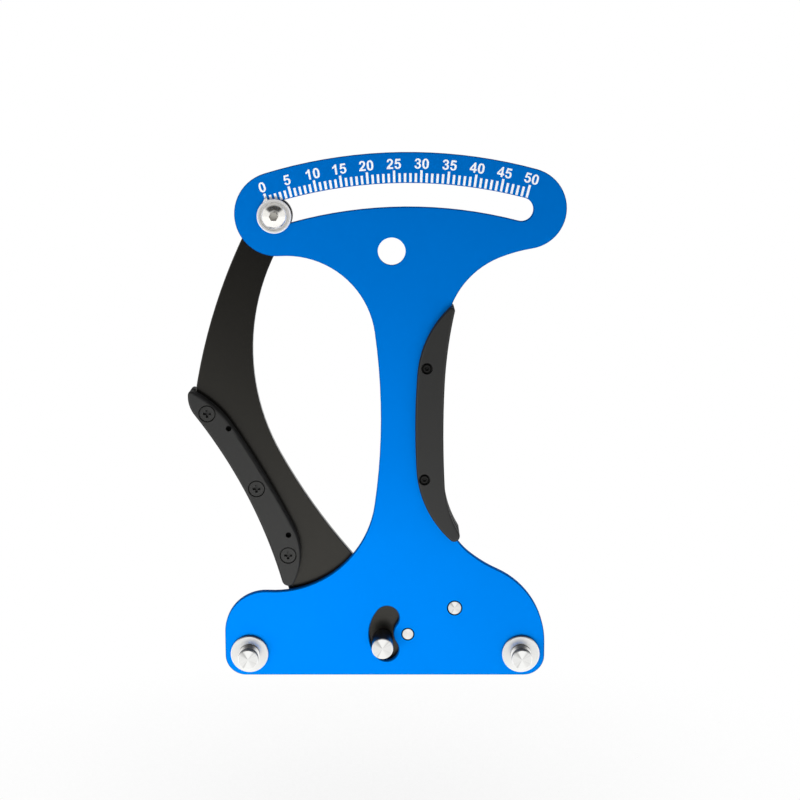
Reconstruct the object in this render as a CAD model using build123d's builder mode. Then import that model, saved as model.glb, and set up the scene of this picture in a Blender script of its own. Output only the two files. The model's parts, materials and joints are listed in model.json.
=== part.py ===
from build123d import *
from math import atan2, cos, degrees, hypot, radians, sin, sqrt
import os

# Spoke tension meter: a flat body plate with a curved scale, and a lever behind it that turns on a
# pin. The spoke lies over the two fixed posts and under the post on the lever, a spring pulls the
# lever back, and a pointer on the lever's tip shows on the scale how far the spoke gave way.
#
# Frame: origin on the axis of the hang hole, in the front face of the body plate, X to the right
# and Z up as the scale is read. The front looks along -Y. Heights are measured toward the reader
# from the front face of the plate, so that a height h lies at y = -h. Millimetres throughout.

os.makedirs("parts", exist_ok=True)

# Body plate
PLATE = 3.0  # thickness
PLATE_EDGE = 0.3  # chamfer on the outer and inner edges
PIVOT = (5.95, -143.4)  # axis of the lever
TOP_RADIUS = 178.9  # top edge of the head, struck from the pivot
LOBE_LEFT = 15.1  # round ends of the head
LOBE_RIGHT = 14.5
SIDE_LEFT = -62.5
SIDE_RIGHT = 57.2
SHOULDER_LEFT = 15.4  # rounds between the foot's sides and the bays
SHOULDER_RIGHT = 30.8
FOOT = -159.3  # bottom edge
FOOT_CORNER = 7.6
WAIST_LEFT = -4.0  # narrowest points of the waist
WAIST_RIGHT = 17.3
WAIST_BOW = 230.0  # radius of the hollow waist edges
WAIST_HEIGHT = -61.0
HANG_HOLE = 5.05  # radius
SCALE_RADIUS = 163.7  # centre line of the scale slot
SCALE_SLOT = 8.5  # width of the scale slot
REST_ANGLE = 107.15  # direction from the pivot to the pointer at rest
TRAVEL = 31.6  # degrees from rest to full squeeze
KIDNEY_RADIUS = 10.0  # centre line of the slot for the moving post
KIDNEY_SLOT = 9.2  # width of that slot
KIDNEY_START = 141.0  # directions of its end centres
KIDNEY_END = 217.0
LEFT_POST = (-53.4, -150.75)
RIGHT_POST = (48.3, -150.75)
SPRING_STUD = (23.45, -133.25)

# Stack, from the front: plate, washer, lever; the grips stand out on both sides
GAP = 0.8  # between plate and lever
LEVER = 3.0  # thickness of the lever
LEVER_FRONT = -PLATE - GAP
LEVER_BACK = LEVER_FRONT - LEVER
REAR = -11.8  # rear faces of the grips, on which the tool lies
LEVER_GRIP_FACE = 1.2
BODY_GRIP_FACE = 4.0
GRIP_ROUND = 0.8  # fillet on the front grips' outer edges
GRIP_BEVEL = 0.6  # chamfer on those of the rear grips

# Lever
TIP = 6.4  # radius of the round tip under the pointer
SHAFT_END = 6.9  # radius that the lever's long edges run out to beside the tip
TIP_BEND = 30.0  # rounds that lead from those edges into the tip
HUB = 15.0  # radius of the round foot about the pivot
POINTER_REACH = 163.4
POINTER_DISC = 6.2  # radius
POINTER_SEAT = 5.0  # radius of the shallow seat for the screw's head
TONGUE_ROOT = 168.2  # reach of the tongue that points at the scale, from root to end
TONGUE_END = 170.25
POINTER_BUSH = 3.9
POINTER_HEAD = 4.7
POINTER_SOCKET = 3.0  # across flats
POINTER_BACK = 0.3  # heights of the disc's back, its seat, its face, and the top of the screw
POINTER_FLOOR = 1.1
POINTER_FACE = 1.4
POINTER_TOP = 3.7
POST_REACH = 9.95  # pivot to the moving post
POST_ANGLE = 198.3  # its direction at rest
SPRING_ARM = 11.0  # pivot to the spring pin
SPRING_ANGLE = -44.0

# Turned parts and fasteners
POST_FACE = 8.2  # height of the three posts' end faces
POST_SHANK = 2.4  # radius of the posts and the spring stud in their holes
POST_FLANGE = 7.0  # radii of a fixed post, from its flange to its head
POST_SHOULDER = 3.9
POST_NECK = 2.7
POST_HEAD = 3.75
MOVING_POST = 3.95  # radius
PIN = 2.0  # radius of the pivot pin
BUSH = 3.0  # outer radius of the pivot bush
RUNNING = 0.03  # radial play of the pin in its bush
EASE = 0.02  # radial play of a fixed shank in its hole
PLAY = 0.05  # axial play of the lever between its washers
WASHER = 0.6  # thickness
LOCK_WASHER = 0.5
PIVOT_WASHER = 4.6  # outer radius of the pivot's washers
CLIP = 0.5  # thickness of the pivot clip
CLIP_GROOVE = 1.6  # radius of the groove that it sits in
GRIP_SCREWS = ((-67.6, -59.3), (-49.9, -87.4), (-38.5, -112.7))
GRIP_PINS = ((-59.8, -64.8), (-38.3, -104.9))
BODY_SCREWS = ((12.8, -42.2), (12.0, -83.4))
M5 = 2.5  # thread radii
M3 = 1.5
M2 = 1.0
HEAD_RADIUS = 2.75  # heads of the post screws
HEAD_HEIGHT = 2.0
HEAD_SOCKET = 2.0  # across flats
GRIP_PIN = 1.05
GRIP_BORE = 3.15  # counterbore for a grip screw's head
GRIP_BORE_DEPTH = 2.2
GRIP_HEAD = 3.0
GRIP_HEAD_HEIGHT = 2.05
CROSS_LENGTH = 2.9  # cross recess of a grip screw
CROSS_WIDTH = 0.9
CROSS_DEPTH = 1.3
BODY_BORE = 2.1
BODY_BORE_DEPTH = 1.8
BODY_HEAD = 1.6

# Return spring
WIRE = 0.8  # diameter
WIRE_SIDES = 8  # the round wire is drawn with flats
COIL = 1.75  # spring axis to the middle of the wire
EYE = 1.95  # middle of a groove to the middle of the wire round it
GROOVE = 1.5  # radius of the grooves in stud and pin
COLLAR = 2.1  # radius beside the grooves
SPRING_TURNS = 8
SPRING_AXIS = -9.4  # height
STUD_END = -11.2


def level(height):
    """Plane parallel to the plates, at a height toward the reader."""
    return Plane.XZ.offset(height)


def polar(reach, direction, centre=PIVOT):
    """Point at a distance and a direction from a centre, the pivot unless told otherwise."""
    return centre[0] + reach * cos(radians(direction)), centre[1] + reach * sin(radians(direction))


def bend(before, after, radius, near):
    """Arc (centre, radius) that touches two others. A radius is positive where the outline bulges
    and negative where it is hollow. Of the two that fit, it is the one centred closest to near."""
    (ax, az), (bx, bz) = before[0], after[0]
    span = hypot(bx - ax, bz - az)
    reach = abs(radius - before[1])
    along = (reach**2 - (radius - after[1]) ** 2 + span**2) / (2 * span)
    across = sqrt(reach**2 - along**2)
    direction = degrees(atan2(bz - az, bx - ax))
    foot = polar(along, direction, before[0])
    centres = [polar(across, direction + side, foot) for side in (90, -90)]
    return min(centres, key=lambda c: hypot(c[0] - near[0], c[1] - near[1])), radius


def beside(arc, radius, direction):
    """Arc of another radius that touches an arc at a direction from its centre."""
    reach = arc[1] - radius if arc[1] > 0 else radius - arc[1]
    return polar(reach, direction, arc[0]), radius


def touch(one, other):
    """Point where two touching arcs meet."""
    share = one[1] / (one[1] - other[1])
    return tuple(a + (b - a) * share for a, b in zip(one[0], other[0]))


def draw_arcs(arcs, ends=None):
    """Draw touching arcs anticlockwise round the material, as a closed outline unless it has ends."""
    first, last = ends or [touch(arcs[-1], arcs[0])] * 2
    marks = [first, *(touch(one, other) for one, other in zip(arcs, arcs[1:])), last]
    for (centre, radius), start, end in zip(arcs, marks, marks[1:]):
        angles = [degrees(atan2(z - centre[1], x - centre[0])) for x, z in (start, end)]
        turn = (angles[1] - angles[0]) % 360 if radius > 0 else -((angles[0] - angles[1]) % 360)
        CenterArc(centre, abs(radius), angles[0], turn)


def turn_profile(point, *steps, crown=None):
    """Turn a closed profile of (radius, height) points about the axis through a point. The height of
    a crown, where it is given, adds a dome that rises from the last point to the axis."""
    with BuildSketch(Plane(origin=(point[0], 0, point[1]), x_dir=(1, 0, 0), z_dir=(0, 0, -1))) as profile:
        with BuildLine():
            Polyline(*steps, close=crown is None)
            if crown is not None:
                TangentArc((0, crown), steps[-1], tangent=(1, 0))
                Line((0, crown), steps[0])
        make_face()
    revolve(profile.sketch, axis=Axis((point[0], 0, point[1]), (0, -1, 0)))


def drill(points, radius, top, bottom):
    """Cut round holes square to the plates, from one height down to another."""
    with BuildSketch(level(bottom)) as holes:
        with Locations(*points):
            Circle(radius)
    extrude(holes.sketch, amount=top - bottom, mode=Mode.SUBTRACT)


def sink_hexagon(points, flats, top, bottom):
    """Cut hexagon sockets or nut pockets from one height down to another."""
    with BuildSketch(level(bottom)) as pockets:
        with Locations(*points):
            RegularPolygon(flats / 2, 6, major_radius=False)
    extrude(pockets.sketch, amount=top - bottom, mode=Mode.SUBTRACT)


POINTER_AT = polar(POINTER_REACH, REST_ANGLE)
MOVING_POST_AT = polar(POST_REACH, POST_ANGLE)
SPRING_PIN_AT = polar(SPRING_ARM, SPRING_ANGLE)

# Body plate: sheet aluminium, cut to an outline of touching arcs
left_lobe = (polar(TOP_RADIUS - LOBE_LEFT, 106.85), LOBE_LEFT)
right_lobe = (polar(TOP_RADIUS - LOBE_RIGHT, 75.0), LOBE_RIGHT)
left_waist = ((WAIST_LEFT - WAIST_BOW, WAIST_HEIGHT), -WAIST_BOW)
right_waist = ((WAIST_RIGHT + WAIST_BOW, WAIST_HEIGHT), -WAIST_BOW)
left_shoulder = ((SIDE_LEFT + SHOULDER_LEFT, -142.3), SHOULDER_LEFT)
right_shoulder = ((SIDE_RIGHT - SHOULDER_RIGHT, -146.6), SHOULDER_RIGHT)
right_bay_low = beside(right_shoulder, -48.3, 65.4)
right_bay_top = beside(right_lobe, -56.0, -80.75)
plate_arcs = [
    right_shoulder,
    right_bay_low,
    bend(right_bay_low, right_waist, -24.0, near=(42.0, -89.0)),
    right_waist,
    bend(right_waist, right_bay_top, -30.9, near=(50.0, -31.0)),
    right_bay_top,
    right_lobe,
    (PIVOT, TOP_RADIUS),
    left_lobe,
    bend(left_lobe, left_waist, -32.2, near=(-38.0, -34.4)),
    left_waist,
    bend(left_waist, left_shoulder, -38.1, near=(-44.1, -88.5)),
    left_shoulder,
]
side_right = (SIDE_RIGHT, right_shoulder[0][1])
side_left = (SIDE_LEFT, left_shoulder[0][1])

with BuildPart() as body_plate:
    with BuildSketch(level(-PLATE)) as plate_outline:
        with BuildLine():
            draw_arcs(plate_arcs, ends=(side_right, side_left))
            Polyline(side_left, (SIDE_LEFT, FOOT), (SIDE_RIGHT, FOOT), side_right)
        make_face()
        fillet(plate_outline.vertices().group_by(Axis.Y)[0], radius=FOOT_CORNER)
    extrude(amount=PLATE)
    with BuildSketch(level(-PLATE)):
        with BuildLine() as slot_lines:
            scale_line = CenterArc(PIVOT, SCALE_RADIUS, REST_ANGLE - TRAVEL, TRAVEL)
            kidney_line = CenterArc(PIVOT, KIDNEY_RADIUS, KIDNEY_START, KIDNEY_END - KIDNEY_START)
        SlotArc(scale_line, SCALE_SLOT)
        SlotArc(kidney_line, KIDNEY_SLOT)
    extrude(amount=PLATE, mode=Mode.SUBTRACT)
    drill([PIVOT], PIN + EASE, 0, -PLATE)
    drill([SPRING_STUD], POST_SHANK + EASE, 0, -PLATE)
    for cut_face in (body_plate.faces().sort_by(Axis.Y)[0], body_plate.faces().sort_by(Axis.Y)[-1]):
        chamfer(cut_face.edges(), PLATE_EDGE)
    drill([(0, 0)], HANG_HOLE, 0, -PLATE)
    drill([LEFT_POST, RIGHT_POST], POST_SHANK + EASE, 0, -PLATE)
    drill(BODY_SCREWS, M2 + EASE, 0, -PLATE)

# Lever: sheet steel behind the plate, from the round tip under the pointer to the hub on the pin
tip = (POINTER_AT, TIP)
shaft_end = (POINTER_AT, SHAFT_END)
hub = (PIVOT, HUB)
outer_edge = beside(shaft_end, 208.0, 150.6)
inner_edge = beside(shaft_end, -79.8, -34.9)
long_edge = beside(inner_edge, -221.5, 208.6)
palm_edge = ((-220.7, -173.3), -187.8)  # lies 1 mm inside the grip
heel = beside(palm_edge, 7.0, 12.2)
lever_arcs = [
    tip,
    bend(tip, outer_edge, TIP_BEND, near=(-24.5, -3.0)),
    outer_edge,
    bend(outer_edge, palm_edge, 10.0, near=(-62.5, -56.0)),
    palm_edge,
    heel,
    bend(heel, hub, -60.0, near=(-30.0, -200.0)),
    hub,
    bend(hub, long_edge, -12.0, near=(5.0, -116.0)),
    long_edge,
    inner_edge,
    bend(inner_edge, tip, TIP_BEND, near=(-64.5, 21.0)),
]

with BuildPart() as lever_plate:
    with BuildSketch(level(LEVER_BACK)):
        with BuildLine():
            draw_arcs(lever_arcs)
        make_face()
    extrude(amount=LEVER)
    for cut_face in (lever_plate.faces().sort_by(Axis.Y)[0], lever_plate.faces().sort_by(Axis.Y)[-1]):
        chamfer(cut_face.edges(), PLATE_EDGE)
    drill([PIVOT], BUSH, LEVER_FRONT, LEVER_BACK)
    drill([MOVING_POST_AT], POST_SHANK + EASE, LEVER_FRONT, LEVER_BACK)
    drill([*GRIP_SCREWS, SPRING_PIN_AT], M3 + EASE, LEVER_FRONT, LEVER_BACK)
    drill(GRIP_PINS, GRIP_PIN, LEVER_FRONT, LEVER_BACK)
    drill([POINTER_AT], M5 + EASE, LEVER_FRONT, LEVER_BACK)

# Lever grip: two plastic mouldings that clamp the lever, screwed together through it
palm_face = (palm_edge[0], -186.8)
grip_front_edge = ((-339.3, -251.5), 337.5)
grip_low_end = beside(palm_face, 2.4, 15.7)
grip_elbow = beside(palm_face, 11.15, 37.4)
grip_top = beside(grip_front_edge, 39.8, 33.7)
lever_grip_arcs = [
    palm_face,
    grip_low_end,
    bend(grip_low_end, grip_front_edge, 22.7, near=(-56.0, -112.0)),
    grip_front_edge,
    grip_top,
    bend(grip_top, grip_elbow, 1.2, near=(-72.5, -51.5)),
    grip_elbow,
]

with BuildPart() as lever_grip_front:
    with BuildSketch(level(LEVER_FRONT)):
        with BuildLine():
            draw_arcs(lever_grip_arcs)
        make_face()
    extrude(amount=LEVER_GRIP_FACE - LEVER_FRONT)
    fillet(lever_grip_front.faces().sort_by(Axis.Y)[0].edges(), GRIP_ROUND)
    drill(GRIP_SCREWS, GRIP_BORE, LEVER_GRIP_FACE, LEVER_GRIP_FACE - GRIP_BORE_DEPTH)
    drill(GRIP_SCREWS, M3 + EASE, LEVER_GRIP_FACE, LEVER_FRONT)
    drill(GRIP_PINS, GRIP_PIN, LEVER_GRIP_FACE, LEVER_FRONT)

with BuildPart() as lever_grip_rear:
    with BuildSketch(level(REAR)):
        with BuildLine():
            draw_arcs(lever_grip_arcs)
        make_face()
    extrude(amount=LEVER_BACK - REAR)
    chamfer(lever_grip_rear.faces().sort_by(Axis.Y)[-1].edges(), GRIP_BEVEL)
    drill(GRIP_SCREWS, M3 + EASE, LEVER_BACK, REAR)
    drill(GRIP_PINS, GRIP_PIN, LEVER_BACK, REAR + 2.0)
    sink_hexagon(GRIP_SCREWS, 5.5, REAR + 2.8, REAR)

# Body grip: a crescent on each face of the waist, clamped through the plate
grip_left = ((274.4, -64.55), 265.8)
grip_right = ((392.9, -65.4), -374.0)
grip_left_top = beside(grip_left, 38.0, 175.74)
grip_left_low = beside(grip_left, 39.1, 183.3)
grip_right_top = beside(grip_right, -158.4, 177.4)
grip_right_low = beside(grip_right, -37.4, 183.24)
body_grip_arcs = [
    grip_left,
    grip_left_low,
    bend(grip_left_low, grip_right_low, 2.1, near=(23.3, -104.8)),
    grip_right_low,
    grip_right,
    grip_right_top,
    bend(grip_right_top, grip_left_top, 1.2, near=(21.9, -21.6)),
    grip_left_top,
]

with BuildPart() as body_grip_front:
    with BuildSketch(level(0)):
        with BuildLine():
            draw_arcs(body_grip_arcs)
        make_face()
    extrude(amount=BODY_GRIP_FACE)
    fillet(body_grip_front.faces().sort_by(Axis.Y)[0].edges(), GRIP_ROUND)
    drill(BODY_SCREWS, BODY_BORE, BODY_GRIP_FACE, BODY_GRIP_FACE - BODY_BORE_DEPTH)
    drill(BODY_SCREWS, M2 + EASE, BODY_GRIP_FACE, 0)

with BuildPart() as body_grip_rear:
    with BuildSketch(level(REAR)):
        with BuildLine():
            draw_arcs(body_grip_arcs)
        make_face()
    extrude(amount=-PLATE - REAR)
    chamfer(body_grip_rear.faces().sort_by(Axis.Y)[-1].edges(), GRIP_BEVEL)
    drill(BODY_SCREWS, M2 + EASE, -PLATE, REAR)
    sink_hexagon(BODY_SCREWS, 4.0, REAR + 4.0, REAR)

# Fixed posts: turned stainless steel, a flange on the plate and a waisted neck for the spoke
def fixed_post(point):
    """Post on the body plate, with a threaded hole in its foot."""
    turn_profile(
        point,
        (0, -PLATE),
        (POST_SHANK, -PLATE),
        (POST_SHANK, 0),
        (POST_FLANGE, 0),
        (POST_FLANGE, 1.3),
        (POST_FLANGE - 0.3, 1.6),
        (POST_SHOULDER, 1.6),
        (POST_SHOULDER, 2.4),
        (POST_NECK + 0.2, 3.2),
        (POST_NECK, 4.0),
        (POST_NECK + 0.2, 4.9),
        (POST_HEAD, 5.7),
        (POST_HEAD, POST_FACE - 0.3),
        (POST_HEAD - 0.3, POST_FACE),
        (0, POST_FACE),
    )
    drill([point], M3 + EASE, 3.0, -PLATE)


def socket_screw(point, tip_height, seat):
    """Cap screw of M3 from behind, with its head under a seat."""
    turn_profile(
        point,
        (0, tip_height),
        (M3, tip_height),
        (M3, seat),
        (HEAD_RADIUS, seat),
        (HEAD_RADIUS, seat - 1.5),
        (HEAD_RADIUS - 0.5, seat - HEAD_HEIGHT),
        (0, seat - HEAD_HEIGHT),
    )
    sink_hexagon([point], HEAD_SOCKET, seat - 0.8, seat - HEAD_HEIGHT)


def ring(point, inner, outer, top, bottom):
    """Plain washer or bush between two heights."""
    turn_profile(point, (inner, top), (outer, top), (outer, bottom), (inner, bottom))


with BuildPart() as left_post:
    fixed_post(LEFT_POST)

with BuildPart() as right_post:
    fixed_post(RIGHT_POST)

# Screws and lock washers that hold the fixed posts from behind
with BuildPart() as post_washers:
    for post in (LEFT_POST, RIGHT_POST):
        ring(post, M3 + EASE, HEAD_RADIUS + 0.4, -PLATE, -PLATE - LOCK_WASHER)

with BuildPart() as post_screws:
    for post in (LEFT_POST, RIGHT_POST):
        socket_screw(post, 2.6, -PLATE - LOCK_WASHER)

# Spring stud: flush with the front of the plate, grooved behind it for the spring's eye
with BuildPart() as spring_stud:
    turn_profile(
        SPRING_STUD,
        (0, 0),
        (POST_SHANK, 0),
        (POST_SHANK, -PLATE),
        (4.0, -PLATE),
        (4.0, -4.2),
        (COLLAR, -4.4),
        (COLLAR, SPRING_AXIS + 0.6),
        (GROOVE, SPRING_AXIS + 0.5),
        (GROOVE, SPRING_AXIS - 0.5),
        (COLLAR, SPRING_AXIS - 0.6),
        (COLLAR, STUD_END + 0.3),
        (COLLAR - 0.3, STUD_END),
        (0, STUD_END),
    )

# Pivot: a pin through the plate and the lever's bush, spaced by washers and held by a clip behind
clip_front = LEVER_BACK - PLAY - WASHER
clip_back = clip_front - CLIP
pin_end = clip_back - 1.1
with BuildPart() as pivot_pin:
    turn_profile(
        PIVOT,
        (0, 0),
        (PIN, 0),
        (PIN, clip_front),
        (CLIP_GROOVE, clip_front),
        (CLIP_GROOVE, clip_back),
        (PIN, clip_back),
        (PIN, pin_end + 0.3),
        (PIN - 0.3, pin_end),
        (0, pin_end),
    )

with BuildPart() as pivot_spacer:
    ring(PIVOT, PIN + EASE, PIVOT_WASHER, -PLATE, LEVER_FRONT + PLAY)

with BuildPart() as pivot_washer:
    ring(PIVOT, PIN + EASE, PIVOT_WASHER, clip_front + WASHER, clip_front)

with BuildPart() as pivot_clip:
    with BuildSketch(level(clip_back)):
        with Locations(PIVOT):
            Circle(PIN + 1.6)
            Circle(CLIP_GROOVE + EASE, mode=Mode.SUBTRACT)
        with Locations((PIVOT[0], PIVOT[1] - 2.6)):
            Rectangle(2.2, 3.4, mode=Mode.SUBTRACT)
    extrude(amount=CLIP)

with BuildPart() as pivot_bush:
    ring(PIVOT, PIN + RUNNING, BUSH, LEVER_FRONT, LEVER_BACK)

# Moving post: stands on the lever and reaches the spoke through the kidney slot
with BuildPart() as moving_post:
    turn_profile(
        MOVING_POST_AT,
        (0, LEVER_BACK),
        (POST_SHANK, LEVER_BACK),
        (POST_SHANK, LEVER_FRONT),
        (MOVING_POST, LEVER_FRONT),
        (MOVING_POST, POST_FACE - 0.3),
        (MOVING_POST - 0.3, POST_FACE),
        (0, POST_FACE),
    )
    drill([MOVING_POST_AT], M3 + EASE, 0, LEVER_BACK)

with BuildPart() as moving_post_screw:
    socket_screw(MOVING_POST_AT, -0.4, LEVER_BACK)

# Pointer: a stainless disc with a small tongue that points at the scale. A button head screw holds it
# to the lever, over a bush that runs in the scale slot
with BuildPart() as pointer:
    turn_profile(
        POINTER_AT,
        (M5 + EASE, POINTER_BACK),
        (POINTER_DISC, POINTER_BACK),
        (POINTER_DISC, POINTER_FACE - 0.3),
        (POINTER_DISC - 0.3, POINTER_FACE),
        (POINTER_SEAT + 0.2, POINTER_FACE),
        (POINTER_SEAT, POINTER_FLOOR),
        (M5 + EASE, POINTER_FLOOR),
    )
    with BuildSketch(level(POINTER_BACK)):
        with BuildLine():
            Polyline(
                polar(TONGUE_ROOT, REST_ANGLE + 0.1),
                polar(TONGUE_END, REST_ANGLE + 0.15),
                polar(TONGUE_END, REST_ANGLE + 0.5),
                polar(TONGUE_ROOT, REST_ANGLE + 1.1),
                close=True,
            )
        make_face()
    extrude(amount=POINTER_FLOOR - POINTER_BACK)

with BuildPart() as pointer_bush:
    ring(POINTER_AT, M5 + EASE, POINTER_BUSH, POINTER_BACK, LEVER_FRONT)

with BuildPart() as pointer_screw:
    turn_profile(
        POINTER_AT,
        (0, LEVER_BACK),
        (M5, LEVER_BACK),
        (M5, POINTER_FLOOR),
        (POINTER_HEAD, POINTER_FLOOR),
        (POINTER_HEAD, POINTER_FLOOR + 0.2),
        crown=POINTER_TOP,
    )
    sink_hexagon([POINTER_AT], POINTER_SOCKET, POINTER_TOP, POINTER_TOP - 1.5)

# Spring pin: riveted in the lever below the pivot, on the side away from the grips
with BuildPart() as spring_pin:
    turn_profile(
        SPRING_PIN_AT,
        (0, LEVER_FRONT),
        (M3, LEVER_FRONT),
        (M3, LEVER_BACK),
        (COLLAR + 0.5, LEVER_BACK),
        (COLLAR + 0.5, LEVER_BACK - 0.6),
        (COLLAR, LEVER_BACK - 0.6),
        (COLLAR, SPRING_AXIS + 0.6),
        (GROOVE, SPRING_AXIS + 0.5),
        (GROOVE, SPRING_AXIS - 0.5),
        (COLLAR, SPRING_AXIS - 0.6),
        (COLLAR, STUD_END + 0.3),
        (COLLAR - 0.3, STUD_END),
        (0, STUD_END),
    )

# Grip screws with cross recesses, their nuts, and the two dowels that line up the grip halves
with BuildPart() as lever_grip_screws:
    head_seat = LEVER_GRIP_FACE - GRIP_BORE_DEPTH
    for screw in GRIP_SCREWS:
        turn_profile(
            screw,
            (0, REAR + 0.7),
            (M3, REAR + 0.7),
            (M3, head_seat),
            (GRIP_HEAD, head_seat),
            (GRIP_HEAD, head_seat + GRIP_HEAD_HEIGHT - 0.3),
            (GRIP_HEAD - 0.3, head_seat + GRIP_HEAD_HEIGHT),
            (0, head_seat + GRIP_HEAD_HEIGHT),
        )
    with BuildSketch(level(head_seat + GRIP_HEAD_HEIGHT - CROSS_DEPTH)):
        with Locations(*GRIP_SCREWS):
            Rectangle(CROSS_LENGTH, CROSS_WIDTH)
            Rectangle(CROSS_WIDTH, CROSS_LENGTH)
    extrude(amount=CROSS_DEPTH, mode=Mode.SUBTRACT)

with BuildPart() as lever_grip_nuts:
    with BuildSketch(level(REAR + 0.4)):
        with Locations(*GRIP_SCREWS):
            RegularPolygon(2.73, 6, major_radius=False)
            Circle(M3 + EASE, mode=Mode.SUBTRACT)
    extrude(amount=2.4)

with BuildPart() as lever_grip_pins:
    for pin in GRIP_PINS:
        bottom = REAR + 2.0
        face = LEVER_GRIP_FACE - 1.8
        turn_profile(pin, (0, bottom), (GRIP_PIN - EASE, bottom), (GRIP_PIN - EASE, face), (0, face))

with BuildPart() as body_grip_screws:
    cap_seat = BODY_GRIP_FACE - BODY_BORE_DEPTH
    for screw in BODY_SCREWS:
        turn_profile(
            screw,
            (0, REAR + 1.6),
            (M2, REAR + 1.6),
            (M2, cap_seat),
            (BODY_HEAD, cap_seat),
            (BODY_HEAD, cap_seat + 1.2),
            (BODY_HEAD - 0.3, cap_seat + 1.5),
            (0, cap_seat + 1.5),
        )
    sink_hexagon(BODY_SCREWS, 1.5, cap_seat + 1.5, cap_seat + 0.5)

with BuildPart() as body_grip_nuts:
    with BuildSketch(level(REAR + 2.4)):
        with Locations(*BODY_SCREWS):
            RegularPolygon(1.98, 6, major_radius=False)
            Circle(M2 + EASE, mode=Mode.SUBTRACT)
    extrude(amount=1.6)

# Return spring: an extension spring from the stud on the plate to the pin on the lever
spring_start = Vector(SPRING_STUD[0], -SPRING_AXIS, SPRING_STUD[1])
spring_end = Vector(SPRING_PIN_AT[0], -SPRING_AXIS, SPRING_PIN_AT[1])
spring_length = (spring_end - spring_start).length
spring_frame = Plane(origin=spring_start, x_dir=spring_end - spring_start, z_dir=(0, -1, 0))
coil_start = 4.4
coil_pitch = (spring_length - 2 * coil_start) / SPRING_TURNS
lead_in = 35.0  # degrees past the leg where the first coil begins
half_turns = 2 * SPRING_TURNS
turn_step = (360.0 * SPRING_TURNS - 2 * lead_in) / half_turns


def coil_mark(step):
    """Point and direction of the coil after some half turns, in the spring's own frame."""
    angle = radians(lead_in + turn_step * step)
    along = coil_start + (spring_length - 2 * coil_start) * step / half_turns
    rise = (spring_length - 2 * coil_start) / radians(turn_step * half_turns)
    return (along, COIL * cos(angle), COIL * sin(angle)), (rise, -COIL * sin(angle), COIL * cos(angle))


wire_marks = [
    ((1.4, -EYE, 0), (-1, 0, 0)),
    ((0, -EYE, 0), (-1, 0, 0)),
    ((-EYE, 0, 0), (0, 1, 0)),
    ((0, EYE, 0), (1, 0, 0)),
    ((coil_start - 1.3, EYE, 0), (1, 0, 0)),
    *(coil_mark(step) for step in range(half_turns + 1)),
    ((spring_length - coil_start + 1.3, EYE, 0), (1, 0, 0)),
    ((spring_length, EYE, 0), (1, 0, 0)),
    ((spring_length + EYE, 0, 0), (0, -1, 0)),
    ((spring_length, -EYE, 0), (-1, 0, 0)),
    ((spring_length - 1.4, -EYE, 0), (-1, 0, 0)),
]


def place_mark(point, way):
    """Mark of the spring's own frame as a point and a unit direction of the object's."""
    here = spring_frame.from_local_coords(Vector(*point))
    return here, (spring_frame.from_local_coords(Vector(*point) + Vector(*way)) - here).normalized()


def join_marks(start, start_way, end, end_way):
    """Run the wire from one mark to the next, straight or as two arcs that meet smoothly."""
    run = end - start
    if run.cross(start_way).length < 1e-6:
        Line(start, end)
        return
    ways = start_way + end_way
    slack = 2 * (1 - start_way.dot(end_way))
    arm = (sqrt(run.dot(ways) ** 2 + slack * run.dot(run)) - run.dot(ways)) / slack
    middle = (start + start_way * arm + end - end_way * arm) / 2
    TangentArc(start, middle, tangent=start_way)
    TangentArc(middle, end, tangent=(end - end_way * arm) - (start + start_way * arm))


with BuildPart() as return_spring:
    with BuildLine() as wire:
        placed = [place_mark(point, way) for point, way in wire_marks]
        for (start, start_way), (end, end_way) in zip(placed, placed[1:]):
            join_marks(start, start_way, end, end_way)
    wire_start = wire.wires()[0]
    with BuildSketch(Plane(origin=wire_start @ 0, z_dir=wire_start % 0)):
        RegularPolygon(WIRE / 2, WIRE_SIDES, rotation=180 / WIRE_SIDES)
    sweep(path=wire_start)

samples = [(wire_start.length * i / 1500, wire_start @ (i / 1500)) for i in range(1501)]
least = min(
    (a - b).length for i, (s, a) in enumerate(samples) for t, b in samples[i + 1 :] if t - s > 4 * WIRE
)
print("return_spring least gap to itself", round(least - WIRE, 3), "mm")

pieces = {
    "body_plate": body_plate,
    "body_grip_front": body_grip_front,
    "body_grip_rear": body_grip_rear,
    "body_grip_screws": body_grip_screws,
    "body_grip_nuts": body_grip_nuts,
    "left_post": left_post,
    "right_post": right_post,
    "post_washers": post_washers,
    "post_screws": post_screws,
    "spring_stud": spring_stud,
    "pivot_pin": pivot_pin,
    "pivot_spacer": pivot_spacer,
    "pivot_washer": pivot_washer,
    "pivot_clip": pivot_clip,
    "lever_plate": lever_plate,
    "pivot_bush": pivot_bush,
    "lever_grip_front": lever_grip_front,
    "lever_grip_rear": lever_grip_rear,
    "lever_grip_screws": lever_grip_screws,
    "lever_grip_nuts": lever_grip_nuts,
    "lever_grip_pins": lever_grip_pins,
    "moving_post": moving_post,
    "moving_post_screw": moving_post_screw,
    "pointer": pointer,
    "pointer_bush": pointer_bush,
    "pointer_screw": pointer_screw,
    "spring_pin": spring_pin,
    "return_spring": return_spring,
}
for name, piece in pieces.items():
    piece.part.label = name
    export_step(piece.part, f"parts/{name}.step")
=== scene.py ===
import json
import math

import bpy
from mathutils import Matrix, Vector


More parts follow.
